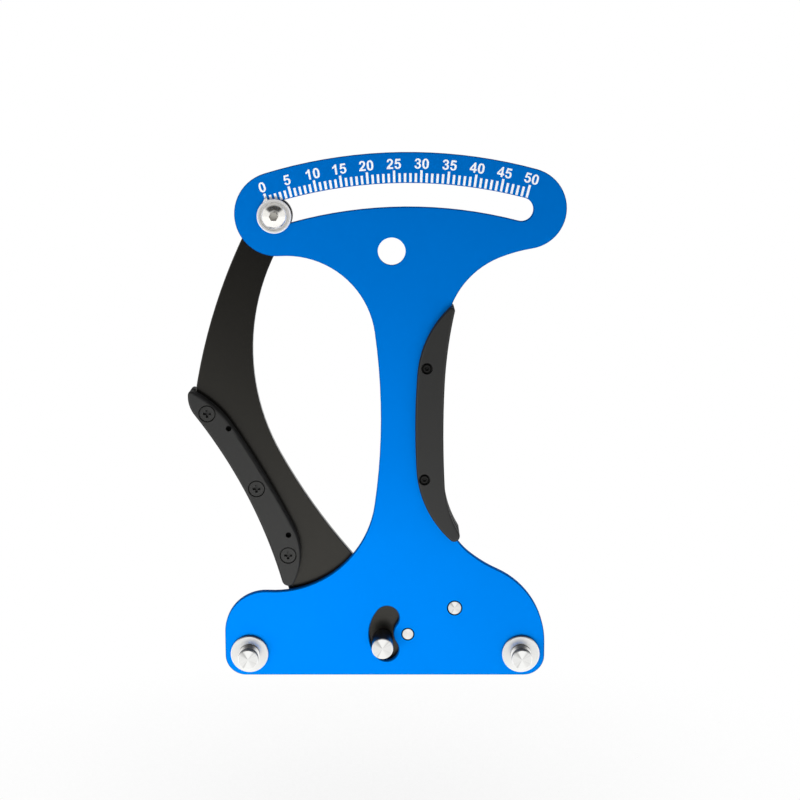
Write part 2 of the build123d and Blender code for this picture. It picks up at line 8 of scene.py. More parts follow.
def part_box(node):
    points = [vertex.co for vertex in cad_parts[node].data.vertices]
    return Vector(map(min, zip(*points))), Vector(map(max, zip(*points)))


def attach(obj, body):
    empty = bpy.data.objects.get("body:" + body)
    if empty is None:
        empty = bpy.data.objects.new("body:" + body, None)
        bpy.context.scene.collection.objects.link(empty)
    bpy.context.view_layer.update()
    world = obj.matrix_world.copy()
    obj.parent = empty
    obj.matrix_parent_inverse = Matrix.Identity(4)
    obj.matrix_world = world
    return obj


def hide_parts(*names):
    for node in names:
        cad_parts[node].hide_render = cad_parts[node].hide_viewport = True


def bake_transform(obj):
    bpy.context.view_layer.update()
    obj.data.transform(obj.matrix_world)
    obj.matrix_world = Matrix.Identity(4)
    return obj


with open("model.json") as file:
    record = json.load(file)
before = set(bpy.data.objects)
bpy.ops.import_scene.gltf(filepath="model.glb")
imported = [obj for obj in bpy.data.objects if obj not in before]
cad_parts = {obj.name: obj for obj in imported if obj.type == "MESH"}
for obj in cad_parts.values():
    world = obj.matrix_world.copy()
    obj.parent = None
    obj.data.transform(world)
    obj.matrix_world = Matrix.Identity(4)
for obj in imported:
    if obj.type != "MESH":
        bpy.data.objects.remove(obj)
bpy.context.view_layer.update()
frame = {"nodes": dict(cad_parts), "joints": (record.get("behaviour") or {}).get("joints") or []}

# Body plate
# Sheet aluminium of 3 mm, laser cut, bead blasted and anodised blue: a soft, even gloss over a grain
# that hardly shows. The cut edges are rougher and duller, and a darker blue is painted on them as
# shade; a thin ring of painted shade lies round each pin that fills its bore.
MM = 0.001
ANODISED_BLUE = "#0081EA"
ANODISED_DEEP = "#007DE4"
# darker blue painted on the cut edges and chamfers as shade
ANODISED_EDGE_SHADE = "#0058A8"
BLAST_GRAIN = 0.5 * MM  # the real grain is finer; this is about the least that shows
DYE_CLOUDS = 45 * MM
FACE_METALLIC = 0.5  # dyed oxide over metal, so between the two
EDGE_METALLIC = 0.15
FACE_ROUGHNESS = 0.34
EDGE_ROUGHNESS = 0.56
GRAIN_ROUGHNESS = 0.08  # what the grain adds at most
PINS = {"pivot_pin": 2.0 * MM, "spring_stud": 2.4 * MM}  # radii where they fill their bores
# width and tone of a ring of painted shade round each pin, for the gap between pin and bore
PIN_GAP_SHADE_WIDTH = 0.48 * MM
PIN_GAP_SHADE = "#001838"


def linear(code):
    """Linear colour, with alpha, of an sRGB hex code."""
    parts = [int(code[i : i + 2], 16) / 255 for i in (1, 3, 5)]
    return [p / 12.92 if p <= 0.04045 else ((p + 0.055) / 1.055) ** 2.4 for p in parts] + [1.0]


def add_node(tree, kind, sockets=None, **settings):
    """Add a node with its settings. A socket takes a value, or a link where it is given a socket."""
    node = tree.nodes.new(kind)
    for name, value in settings.items():
        setattr(node, name, value)
    for name, value in (sockets or {}).items():
        if isinstance(value, bpy.types.NodeSocket):
            tree.links.new(value, node.inputs[name])
        else:
            node.inputs[name].default_value = value
    return node


def start_finish(name):
    """New material without nodes, its tree and its object coordinates."""
    material = bpy.data.materials.new(name)
    material.use_nodes = True
    tree = material.node_tree
    tree.nodes.clear()
    return material, tree, add_node(tree, "ShaderNodeTexCoord").outputs["Object"]


def end_finish(tree, **sockets):
    """Close a material with its shader. Underscores in the sockets' names stand for spaces."""
    named = {name.replace("_", " "): value for name, value in sockets.items()}
    shader = add_node(tree, "ShaderNodeBsdfPrincipled", named)
    add_node(tree, "ShaderNodeOutputMaterial", {"Surface": shader.outputs[0]})


def cover(material, *names):
    """Give the material to pieces that stay as they are."""
    for name in names:
        for slot in frame["nodes"][name].material_slots:
            slot.material = material


def middle_of(name):
    """Middle of a node's box."""
    low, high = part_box(name)
    return (Vector(low) + Vector(high)) / 2


def add_offset(tree, place, name):
    """Way from the middle of a node to a point, as seen straight from the front."""
    centred = add_node(tree, "ShaderNodeMapping", {"Vector": place, "Location": -middle_of(name)})
    sockets = {0: centred.outputs[0], 1: (1, 0, 1)}
    return add_node(tree, "ShaderNodeVectorMath", sockets, operation="MULTIPLY").outputs[0]


def add_flatness(tree):
    """Factor of 1 where a surface faces straight forward or back, and 0 where it faces sideways."""
    facing = add_node(tree, "ShaderNodeNewGeometry").outputs["Normal"]
    depth = add_node(tree, "ShaderNodeSeparateXYZ", {0: facing}).outputs["Y"]
    return add_node(tree, "ShaderNodeMath", {0: depth}, operation="ABSOLUTE").outputs[0]


def add_edge(tree):
    """Factor of 1 on the cut edges and chamfers of a plate and 0 on its two faces."""
    return add_node(tree, "ShaderNodeMapRange", {0: add_flatness(tree), 1: 0.95, 2: 0.8}).outputs[0]


blue, tree, place = start_finish("anodised_aluminium_blue")
edge = add_edge(tree)
clouds = add_node(tree, "ShaderNodeTexNoise", {"Vector": place, "Scale": 1 / DYE_CLOUDS, "Detail": 1.0})
dye = add_node(
    tree,
    "ShaderNodeMix",
    {0: clouds.outputs["Fac"], 6: linear(ANODISED_BLUE), 7: linear(ANODISED_DEEP)},
    data_type="RGBA",
)
grain = add_node(tree, "ShaderNodeTexNoise", {"Vector": place, "Scale": 1 / BLAST_GRAIN, "Detail": 2.0})
# the cut edges and chamfers get the darker blue, painted on as shade
colour = add_node(
    tree, "ShaderNodeMix", {0: edge, 6: dye.outputs[2], 7: linear(ANODISED_EDGE_SHADE)}, data_type="RGBA"
)
# a ring of painted shade round each pin, for the gap between pin and bore
for name, radius in PINS.items():
    offset = add_offset(tree, place, name)
    away = add_node(tree, "ShaderNodeVectorMath", {0: offset}, operation="LENGTH").outputs["Value"]
    gap_shade = add_node(
        tree, "ShaderNodeMath", {0: away, 1: radius + PIN_GAP_SHADE_WIDTH}, operation="LESS_THAN"
    ).outputs[0]
    colour = add_node(
        tree, "ShaderNodeMix", {0: gap_shade, 6: colour.outputs[2], 7: linear(PIN_GAP_SHADE)}, data_type="RGBA"
    )
shine = add_node(tree, "ShaderNodeMapRange", {0: edge, 3: FACE_METALLIC, 4: EDGE_METALLIC})
plain = add_node(tree, "ShaderNodeMapRange", {0: edge, 3: FACE_ROUGHNESS, 4: EDGE_ROUGHNESS})
gloss = add_node(
    tree,
    "ShaderNodeMath",
    {0: grain.outputs["Fac"], 1: GRAIN_ROUGHNESS, 2: plain.outputs[0]},
    operation="MULTIPLY_ADD",
)
blast = add_node(
    tree, "ShaderNodeBump", {"Height": grain.outputs["Fac"], "Strength": 0.12, "Distance": 0.02 * MM}
)
end_finish(
    tree,
    Base_Color=colour.outputs[2],
    Metallic=shine.outputs[0],
    Roughness=gloss.outputs[0],
    Specular_IOR_Level=0.0,
    Normal=blast.outputs[0],
)
cover(blue, "body_plate")

# Scale
# White ink, screen printed on the blue: a tick for each division, a longer one at every fifth, and
# bold figures over those. The divisions start a little closer together, and the ticks grow and the
# figures rise a little toward the high end.
PIVOT = Vector(frame["joints"][0]["pos_m"])
INK = 0.03 * MM
INK_DEPTH = 0.02 * MM  # how far the print's back lies under the surface of the plate
DIVISIONS = 50
FIRST_TICK = math.radians(-17.46)
DIVISION = math.radians(0.6416)
CROWDING = math.radians(2.15)
GROWTH = 1.3 * MM
TICK_FOOT = 168.25 * MM
LONG_TICK = 4.25 * MM
SHORT_TICK = 3.2 * MM
TICK_WIDTH = 0.86 * MM
FIGURE_MIDDLE = 174.85 * MM
FIGURE_HEIGHT = 3.55 * MM
FIGURE_STEP = 0.777  # from figure to figure, in heights, as all sizes of the outlines below
SCREEN_MESH = 0.3 * MM  # a real screen is finer; this is about the least that shows

ink, tree, place = start_finish("screen_printed_ink_white")
weave = add_node(tree, "ShaderNodeTexNoise", {"Vector": place, "Scale": 1 / SCREEN_MESH, "Detail": 1.0})
film = add_node(
    tree, "ShaderNodeBump", {"Height": weave.outputs["Fac"], "Strength": 0.1, "Distance": 0.01 * MM}
)
end_finish(tree, Base_Color=linear("#FAFCFF"), Roughness=0.5, Normal=film.outputs[0])

ticks = bpy.data.node_groups.new("scale_ticks", "GeometryNodeTree")
tick_sizes = {
    "Divisions": ("NodeSocketInt", DIVISIONS),
    "First": ("NodeSocketFloat", FIRST_TICK),
    "Division": ("NodeSocketFloat", DIVISION),
    "Crowding": ("NodeSocketFloat", CROWDING),
    "Foot": ("NodeSocketFloat", TICK_FOOT),
    "Short": ("NodeSocketFloat", SHORT_TICK),
    "Long": ("NodeSocketFloat", LONG_TICK),
    "Growth": ("NodeSocketFloat", GROWTH),
    "Width": ("NodeSocketFloat", TICK_WIDTH),
    "Thickness": ("NodeSocketFloat", INK + INK_DEPTH),
    "Pivot": ("NodeSocketVector", (PIVOT.x, (INK_DEPTH - INK) / 2, PIVOT.z)),
}
for name, (kind, _) in tick_sizes.items():
    ticks.interface.new_socket(name, in_out="INPUT", socket_type=kind)
ticks.interface.new_socket("Geometry", in_out="OUTPUT", socket_type="NodeSocketGeometry")
size = add_node(ticks, "NodeGroupInput").outputs


def reckon(operation, *terms):
    """Output of a math node of the ticks' tree."""
    return add_node(ticks, "ShaderNodeMath", dict(enumerate(terms)), operation=operation).outputs[0]


index = add_node(ticks, "GeometryNodeInputIndex").outputs[0]
count = reckon("ADD", size["Divisions"], 1.0)
share = reckon("DIVIDE", index, size["Divisions"])
left = reckon("SUBTRACT", 1.0, share)
lag = reckon("MULTIPLY", reckon("MULTIPLY", left, left), reckon("MULTIPLY", share, size["Crowding"]))
even = reckon("MULTIPLY_ADD", index, size["Division"], size["First"])
angle = reckon("SUBTRACT", even, lag)
sine = reckon("SINE", angle)
cosine = reckon("COSINE", angle)
short = reckon("GREATER_THAN", reckon("MODULO", index, 5.0), 0.5)
plain_length = add_node(
    ticks, "GeometryNodeSwitch", {0: short, 1: size["Long"], 2: size["Short"]}, input_type="FLOAT"
).outputs[0]
length = reckon("MULTIPLY_ADD", sine, size["Growth"], plain_length)
reach = reckon("MULTIPLY_ADD", length, 0.5, size["Foot"])
right = reckon("MULTIPLY", sine, reach)
up = reckon("MULTIPLY", cosine, reach)
offset = add_node(ticks, "ShaderNodeCombineXYZ", {"X": right, "Z": up}).outputs[0]
spot = add_node(ticks, "ShaderNodeVectorMath", {0: offset, 1: size["Pivot"]}, operation="ADD").outputs[0]
points = add_node(ticks, "GeometryNodePoints", {"Count": count, "Position": spot}).outputs[0]
turn = add_node(ticks, "ShaderNodeCombineXYZ", {"Y": angle}).outputs[0]
facing = add_node(ticks, "FunctionNodeEulerToRotation", {0: turn}).outputs[0]
extent = add_node(
    ticks, "ShaderNodeCombineXYZ", {"X": size["Width"], "Y": size["Thickness"], "Z": length}
).outputs[0]
block = add_node(ticks, "GeometryNodeMeshCube").outputs[0]
placed = add_node(
    ticks,
    "GeometryNodeInstanceOnPoints",
    {"Points": points, "Instance": block, "Rotation": facing, "Scale": extent},
).outputs[0]
real = add_node(ticks, "GeometryNodeRealizeInstances", {0: placed}).outputs[0]
inked = add_node(ticks, "GeometryNodeSetMaterial", {"Geometry": real, "Material": ink}).outputs[0]
add_node(ticks, "NodeGroupOutput", {0: inked})


def settle(source, name):
    """Plain mesh object of what an object with modifiers or a curve comes to."""
    bpy.context.view_layer.update()
    evaluated = source.evaluated_get(bpy.context.evaluated_depsgraph_get())
    mesh = bpy.data.meshes.new_from_object(evaluated)
    mesh.transform(source.matrix_world)
    bpy.data.objects.remove(source)
    piece = bpy.data.objects.new(name, mesh)
    bpy.context.scene.collection.objects.link(piece)
    return piece


def grow(tree, sizes, name):
    """Mesh that a geometry tree makes with these sizes."""
    seed = bpy.data.objects.new(name + "_seed", bpy.data.meshes.new(name + "_seed"))
    bpy.context.scene.collection.objects.link(seed)
    modifier = seed.modifiers.new(name, "NODES")
    modifier.node_group = tree
    for socket in tree.interface.items_tree:
        if socket.in_out == "INPUT":
            modifier[socket.identifier] = sizes[socket.name][1]
    return settle(seed, name)


scale_ticks = grow(ticks, tick_sizes, "scale_ticks")

# Outlines of the figures, without serifs and with a stem of a fifth of their height. A point is
# (across, up), and one with a third term is a corner; the line runs smoothly through the others.
CORNER = True
zero_rim = [(0.388, 1.012), (0.6, 0.925), (0.718, 0.5), (0.6, 0.075), (0.388, -0.012), (0.176, 0.075)]
zero_rim += [(0.058, 0.5), (0.176, 0.925)]
zero_hole = [(0.388, 0.862), (0.478, 0.78), (0.512, 0.5), (0.478, 0.22), (0.388, 0.138), (0.298, 0.22)]
zero_hole += [(0.264, 0.5), (0.298, 0.78)]
one = [(0.546, 0, CORNER), (0.546, 1.012, CORNER), (0.388, 1.012, CORNER), (0.29, 0.87)]
one += [(0.107, 0.765, CORNER), (0.107, 0.59, CORNER), (0.24, 0.645), (0.35, 0.735, CORNER)]
one += [(0.35, 0, CORNER)]
two = [(0.7, 0, CORNER), (0.7, 0.178, CORNER), (0.322, 0.178, CORNER), (0.42, 0.29), (0.62, 0.5)]
two += [(0.693, 0.72), (0.6, 0.935), (0.385, 1.012), (0.16, 0.935), (0.062, 0.7, CORNER)]
two += [(0.252, 0.68, CORNER), (0.29, 0.82), (0.382, 0.857), (0.47, 0.82), (0.502, 0.715), (0.44, 0.57)]
two += [(0.22, 0.345), (0.08, 0.17), (0.035, 0, CORNER)]
three = [(0.052, 0.265, CORNER), (0.15, 0.07), (0.375, -0.012), (0.62, 0.085), (0.712, 0.3)]
three += [(0.665, 0.455), (0.555, 0.535, CORNER), (0.65, 0.63), (0.683, 0.755), (0.6, 0.935)]
three += [(0.375, 1.012), (0.165, 0.935), (0.07, 0.745, CORNER), (0.255, 0.72, CORNER), (0.295, 0.83)]
three += [(0.378, 0.862), (0.463, 0.825), (0.49, 0.74), (0.45, 0.63), (0.3, 0.6, CORNER)]
three += [(0.28, 0.44, CORNER), (0.375, 0.455), (0.48, 0.41), (0.515, 0.3), (0.475, 0.18)]
three += [(0.378, 0.138), (0.29, 0.175), (0.245, 0.29, CORNER)]
four_rim = [(0.43, 0, CORNER), (0.43, 0.2, CORNER), (0.026, 0.2, CORNER), (0.026, 0.365, CORNER)]
four_rim += [(0.455, 1.012, CORNER), (0.615, 1.012, CORNER), (0.615, 0.367, CORNER)]
four_rim += [(0.737, 0.367, CORNER), (0.737, 0.2, CORNER), (0.615, 0.2, CORNER), (0.615, 0, CORNER)]
four_hole = [(0.43, 0.367, CORNER), (0.43, 0.715, CORNER), (0.2, 0.367, CORNER)]
five = [(0.063, 0.265, CORNER), (0.16, 0.07), (0.38, -0.012), (0.635, 0.1), (0.722, 0.335)]
five += [(0.64, 0.58), (0.44, 0.665), (0.285, 0.63, CORNER), (0.31, 0.82, CORNER)]
five += [(0.675, 0.82, CORNER), (0.675, 1.0, CORNER), (0.17, 1.0, CORNER), (0.085, 0.48, CORNER)]
five += [(0.24, 0.455, CORNER), (0.375, 0.525), (0.485, 0.47), (0.522, 0.33), (0.485, 0.185)]
five += [(0.378, 0.138), (0.295, 0.175), (0.252, 0.285, CORNER)]
FIGURES = {
    "0": [zero_rim, zero_hole],
    "1": [one],
    "2": [two],
    "3": [three],
    "4": [four_rim, four_hole],
    "5": [five],
}


def print_figures(value, angle):
    """Flat print of a number, upright over the scale at an angle from the vertical."""
    print_curve = bpy.data.curves.new(f"figures_{value}", "CURVE")
    print_curve.dimensions = "2D"
    print_curve.fill_mode = "BOTH"
    print_curve.resolution_u = 5
    print_curve.extrude = (INK + INK_DEPTH) / 2
    for place, figure in enumerate(str(value)):
        start = (place - len(str(value)) / 2) * FIGURE_STEP
        for outline in FIGURES[figure]:
            spline = print_curve.splines.new("BEZIER")
            spline.bezier_points.add(len(outline) - 1)
            spline.use_cyclic_u = True
            for point, (across, up, *corner) in zip(spline.bezier_points, outline):
                point.co = Vector((start + across, up - 0.5, 0)) * FIGURE_HEIGHT
                kind = "VECTOR" if corner else "AUTO"
                point.handle_left_type = kind
                point.handle_right_type = kind
    figures = bpy.data.objects.new(f"figures_{value}", print_curve)
    bpy.context.scene.collection.objects.link(figures)
    stand = Matrix.Rotation(math.radians(90), 4, "X")
    lift = Matrix.Translation((0, 0, FIGURE_MIDDLE + GROWTH * math.sin(angle)))
    centre = Matrix.Translation((PIVOT.x, (INK_DEPTH - INK) / 2, PIVOT.z))
    figures.matrix_world = centre @ Matrix.Rotation(angle, 4, "Y") @ lift @ stand
    return settle(figures, f"scale_figures_{value}")


prints = [scale_ticks]
for value in range(0, DIVISIONS + 1, 5):
    share = value / DIVISIONS
    lean = FIRST_TICK + DIVISION * value - CROWDING * share * (1 - share) ** 2
    prints.append(print_figures(value, lean))
for piece in prints:
    piece.data.materials.clear()
    piece.data.materials.append(ink)
    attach(piece, "body")

# Lever
# Sheet steel of 3 mm, laser cut and coated black by electrophoresis: an even satin film that hides
# the rolled surface, a little warm in tone, with a fine orange peel.
PEEL = 1.1 * MM
COAT_BLACK = "#0B0A08"
COAT_WARM = "#100F0D"

black, tree, place = start_finish("electrocoated_steel_black")
peel = add_node(tree, "ShaderNodeTexNoise", {"Vector": place, "Scale": 1 / PEEL, "Detail": 3.0})
tone = add_node(
    tree,
    "ShaderNodeMix",
    {0: peel.outputs["Fac"], 6: linear(COAT_BLACK), 7: linear(COAT_WARM)},
    data_type="RGBA",
)
film = add_node(
    tree, "ShaderNodeBump", {"Height": peel.outputs["Fac"], "Strength": 0.15, "Distance": 0.03 * MM}
)
end_finish(
    tree,
    Base_Color=tone.outputs[2],
    Roughness=0.25,
    Specular_IOR_Level=0.54,
    Specular_Tint=(1.0, 0.97, 0.88, 1.0),
    Normal=film.outputs[0],
)
cover(black, "lever_plate")

# Grips
# Injection moulded nylon, black and a little greyed, from a spark eroded tool: dull, with a fine
# even grain, duller still on its walls, which get a darker tone painted on as shade. Each grip is
# two halves, one on each face of the plate that it clamps.
SPARK_GRAIN = 0.45 * MM
NYLON_BLACK = "#1D1D1C"
NYLON_GREY = "#242423"
# tone painted on the walls as shade
NYLON_WALL_SHADE = "#121211"

nylon, tree, place = start_finish("moulded_nylon_black")
grain = add_node(tree, "ShaderNodeTexNoise", {"Vector": place, "Scale": 1 / SPARK_GRAIN, "Detail": 2.0})
tone = add_node(
    tree,
    "ShaderNodeMix",
    {0: grain.outputs["Fac"], 6: linear(NYLON_BLACK), 7: linear(NYLON_GREY)},
    data_type="RGBA",
)
# painted shade on the walls, which are also rougher
wall = add_edge(tree)
shade = add_node(
    tree, "ShaderNodeMix", {0: wall, 6: tone.outputs[2], 7: linear(NYLON_WALL_SHADE)}, data_type="RGBA"
)
gloss = add_node(tree, "ShaderNodeMapRange", {0: wall, 3: 0.4, 4: 0.75})
spark = add_node(
    tree, "ShaderNodeBump", {"Height": grain.outputs["Fac"], "Strength": 0.25, "Distance": 0.03 * MM}
)
end_finish(tree, Base_Color=shade.outputs[2], Roughness=gloss.outputs[0], Normal=spark.outputs[0])
cover(nylon, "body_grip_front", "body_grip_rear", "lever_grip_front", "lever_grip_rear")

# Posts, pins and pointer
# Turned from stainless steel. The facing cut leaves rings on an end face that catch the light in fans
# which meet at its middle; these fans are painted reflection, dark wedges drawn in the tone, as the
# rings themselves are too fine to show. The sides and grooves get painted shade and dark reflection,
# and the edges are broken and bright.
TOOL_LINES = 0.16 * MM
FACING_DEPTH = 0.35 * MM  # how far behind the foremost point the facing cut reaches
POINTER_PAINTED_RIM = 5.75 * MM  # from this radius out a painted highlight lies, with painted shade inside it; the face is flat
RIM_EDGE = 0.1 * MM
# how much painted shade lies inside the pointer's painted rim
POINTER_DISH_SHADE = 0.27
STEEL = "#F4F4F2"
STEEL_PINS = "#F4F3EF"
STEEL_POINTER = "#FDFCFA"
STEEL_SCREW = "#F0EEE9"
# dark tone of the painted fans of reflection and of the painted shade on sides and grooves
STEEL_PAINTED_DARK = "#4E4D4A"


def turned_steel(
    name, tone, fans, groove_shade, roughness, metallic=1.0, floor_roughness=None, rim=None, axis=None
):
    """Turned stainless steel, with its rings and fans about the middle of a piece.

    How dark the painted fans of reflection and the painted shade on sides and grooves get runs from
    0 to 1. A rim is the radius from which out a painted highlight lies, with painted shade inside it.
    The axis names another node to take the middle from, where a piece isn't even all round.
    """
    material, tree, place = start_finish("turned_stainless_steel_" + name)
    offset = add_offset(tree, place, axis or name)
    radius = add_node(tree, "ShaderNodeVectorMath", {0: offset}, operation="LENGTH").outputs["Value"]
    lines = add_node(
        tree,
        "ShaderNodeTexNoise",
        {"W": radius, "Scale": 1 / TOOL_LINES, "Detail": 2.0},
        noise_dimensions="1D",
    )
    rings = add_node(
        tree, "ShaderNodeBump", {"Height": lines.outputs["Fac"], "Strength": 0.2, "Distance": 0.01 * MM}
    )

    ray = add_node(tree, "ShaderNodeVectorMath", {0: offset}, operation="NORMALIZE").outputs[0]
    sides = add_node(tree, "ShaderNodeSeparateXYZ", {0: ray}).outputs
    slant = add_node(
        tree, "ShaderNodeMath", {0: sides["X"], 1: sides["Z"]}, operation="MULTIPLY"
    ).outputs[0]
    slant = add_node(tree, "ShaderNodeMath", {0: slant, 1: slant}, operation="MULTIPLY").outputs[0]
    wedge = add_node(
        tree, "ShaderNodeMapRange", {0: slant, 1: 0.1, 2: 0.25}, interpolation_type="SMOOTHSTEP"
    ).outputs[0]
    waver = add_node(tree, "ShaderNodeTexNoise", {"Vector": ray, "Scale": 1.7, "Detail": 1.0})
    uneven = add_node(
        tree, "ShaderNodeMapRange", {0: waver.outputs["Fac"], 1: 0.4, 2: 0.65, 3: 0.15, 4: 1.0}
    ).outputs[0]
    depth = add_node(tree, "ShaderNodeSeparateXYZ", {0: place}).outputs["Y"]
    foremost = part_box(name)[0][1]
    front = add_node(
        tree, "ShaderNodeMath", {0: depth, 1: foremost + FACING_DEPTH}, operation="LESS_THAN"
    ).outputs[0]
    fan = add_node(tree, "ShaderNodeMath", {0: wedge, 1: uneven}, operation="MULTIPLY").outputs[0]
    fan = add_node(tree, "ShaderNodeMath", {0: fan, 1: front}, operation="MULTIPLY").outputs[0]
    fan = add_node(tree, "ShaderNodeMath", {0: fan, 1: fans}, operation="MULTIPLY").outputs[0]

    # painted shade on the sides and in the grooves, and the painted dark fans of reflection
    flat = add_flatness(tree)
    groove = add_node(tree, "ShaderNodeMapRange", {0: flat, 1: 0.5, 2: 0.2, 4: groove_shade}).outputs[0]
    painted_dark = add_node(tree, "ShaderNodeMath", {0: fan, 1: groove}, operation="MAXIMUM").outputs[0]
    # painted shade inside the pointer's rim and a painted highlight outside it, for a dished face
    if rim:
        inward = {0: radius, 1: rim, 2: rim - RIM_EDGE, 4: POINTER_DISH_SHADE}
        inside = add_node(tree, "ShaderNodeMapRange", inward).outputs[0]
        painted_dark = add_node(tree, "ShaderNodeMath", {0: painted_dark, 1: inside}, operation="MAXIMUM").outputs[0]
    colour = add_node(
        tree, "ShaderNodeMix", {0: painted_dark, 6: linear(tone), 7: linear(STEEL_PAINTED_DARK)}, data_type="RGBA"
    )
    if floor_roughness:  # the floor of a socket is as the punch left it
        level = {0: flat, 1: 0.97, 2: 0.99, 3: roughness, 4: floor_roughness}
        roughness = add_node(tree, "ShaderNodeMapRange", level).outputs[0]
    lay = add_node(tree, "ShaderNodeTangent", direction_type="RADIAL", axis="Y")
    end_finish(
        tree,
        Base_Color=colour.outputs[2],
        Metallic=metallic,
        Roughness=roughness,
        Anisotropic=0.4,
        Normal=rings.outputs[0],
        Tangent=lay.outputs[0],
    )
    cover(material, name)


# how dark the painted fans of reflection and the painted shade on sides and grooves get
for name in ("left_post", "right_post"):
    turned_steel(name, STEEL, fans=0.5, groove_shade=0.95, roughness=0.36)
turned_steel("moving_post", STEEL, fans=0.5, groove_shade=0.7, roughness=0.36)
turned_steel("spring_stud", STEEL, fans=0.5, groove_shade=0.25, roughness=0.36)
for name in ("pivot_pin", "spring_pin"):
    turned_steel(name, STEEL_PINS, fans=0.1, groove_shade=0.25, roughness=0.36)
turned_steel(
    "pointer",
    STEEL_POINTER,
    fans=0.0,
    groove_shade=0.7,
    roughness=0.45,
    metallic=0.5,
    rim=POINTER_PAINTED_RIM,
    axis="pointer_screw",
)
turned_steel(
    "pointer_screw",
    STEEL_SCREW,
    fans=0.0,
    groove_shade=0.35,
    roughness=0.17,
    metallic=0.9,
    floor_roughness=0.9,
)

# Screws, nuts and washers
# Steel screws, blackened in a hot bath, which leaves a thin dark film over the metal, and the clip
# likewise, the cross screws a lighter and less metallic copy; rolled pins with a dead black phosphate,
# painted as dark as the shade of the holes they sit in; nuts and lock washers plated with bright zinc.
SOCKET_SCREWS = ("body_grip_screws", "post_screws", "moving_post_screw", "pivot_clip")
CROSS_SCREWS = ("lever_grip_screws",)


def mottled(name, tone, grain, detail, roughness, **sockets):
    """Finish of one colour, whose roughness wanders between two values, in spots the size of its grain."""
    material, tree, place = start_finish(name)
    spots = add_node(tree, "ShaderNodeTexNoise", {"Vector": place, "Scale": 1 / grain, "Detail": detail})
    smoothest, roughest = roughness
    gloss = add_node(tree, "ShaderNodeMapRange", {0: spots.outputs["Fac"], 3: smoothest, 4: roughest})
    end_finish(tree, Base_Color=linear(tone), Roughness=gloss.outputs[0], **sockets)
    return material


for name, tone, metallic, pieces in (
    ("blackened_steel", "#2B2B2A", 0.85, SOCKET_SCREWS),
    # the cross screws get a lighter, less metallic copy of the same finish
    ("blackened_steel_lighter", "#383837", 0.6, CROSS_SCREWS),
):
    oxide = mottled(name, tone, grain=0.6 * MM, detail=2.0, roughness=(0.3, 0.42), Metallic=metallic)
    cover(oxide, *pieces)
# dead black, painted as the shade of the holes the pins sit in
phosphate_and_hole_shade = mottled(
    "phosphated_steel_pin_hole_shade",
    "#060606",
    grain=0.3 * MM,
    detail=1.0,
    roughness=(0.7, 0.85),
    Specular_IOR_Level=0.2,
)
cover(phosphate_and_hole_shade, "lever_grip_pins")
zinc = mottled(
    "zinc_plated_steel", "#C9CBCC", grain=0.8 * MM, detail=2.0, roughness=(0.22, 0.34), Metallic=1.0
)
cover(zinc, "post_washers", "body_grip_nuts", "lever_grip_nuts")

# Bearings
# The lever's bush is sintered bronze, full of oil and a little dark in its pores. The washers beside
# it and the bush in the scale slot are turned from black acetal, which is smooth and a little waxy.
PORES = 0.25 * MM
BRONZE_PORES = "#8A6A3C"
BRONZE = "#B8935A"

bronze, tree, place = start_finish("sintered_bronze")
pores = add_node(tree, "ShaderNodeTexNoise", {"Vector": place, "Scale": 1 / PORES, "Detail": 2.0})
tone = add_node(
    tree,
    "ShaderNodeMix",
    {0: pores.outputs["Fac"], 6: linear(BRONZE_PORES), 7: linear(BRONZE)},
    data_type="RGBA",
)
end_finish(tree, Base_Color=tone.outputs[2], Metallic=1.0, Roughness=0.4)
cover(bronze, "pivot_bush")

acetal = mottled(
    "turned_acetal_black", "#1B1B1B", grain=0.5 * MM, detail=1.0, roughness=(0.35, 0.45)
)
cover(acetal, "pivot_spacer", "pivot_washer", "pointer_bush")

# Return spring
# Extension spring coiled from 0.8 mm music wire, with a loop at each end: one in the groove of the
# stud on the plate, the other in the groove of the pin on the lever.
WIRE = 0.8 * MM
COIL = 1.75 * MM  # spring axis to the middle of the wire
LOOP = 1.95 * MM
NECK = 4.4 * MM  # stud or pin to the first whole coil
TURNS = 8
LEAD = math.radians(35)
TAIL = 1.4 * MM  # how far a loop's free end runs toward the coils
LOOP_STEP = 10  # degrees
LOOP_POINTS = 19
COIL_POINTS = 36  # in a turn

drawn = mottled(
    "drawn_spring_wire", "#A9A8A3", grain=0.3 * MM, detail=2.0, roughness=(0.24, 0.36), Metallic=1.0
)
spring_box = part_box("return_spring")
spring_height = (spring_box[0][1] + spring_box[1][1]) / 2
stud = middle_of("spring_stud")
stud.y = spring_height
pin = middle_of("spring_pin")
pin.y = spring_height
along = (pin - stud).normalized()
above = Vector((0, -1, 0))
beside = above.cross(along)
span = (pin - stud).length

wire_points = [(TAIL, -LOOP, 0)]
for step in range(LOOP_POINTS):
    bend = math.radians(-90 - LOOP_STEP * step)
    wire_points.append((LOOP * math.cos(bend), LOOP * math.sin(bend), 0))
coil_turn = 2 * math.pi * TURNS - 2 * LEAD
steps = COIL_POINTS * TURNS
for step in range(steps + 1):
    bend = LEAD + coil_turn * step / steps
    advance = NECK + (span - 2 * NECK) * step / steps
    wire_points.append((advance, COIL * math.cos(bend), COIL * math.sin(bend)))
for step in range(LOOP_POINTS):
    bend = math.radians(90 - LOOP_STEP * step)
    wire_points.append((span + LOOP * math.cos(bend), LOOP * math.sin(bend), 0))
wire_points.append((span - TAIL, -LOOP, 0))

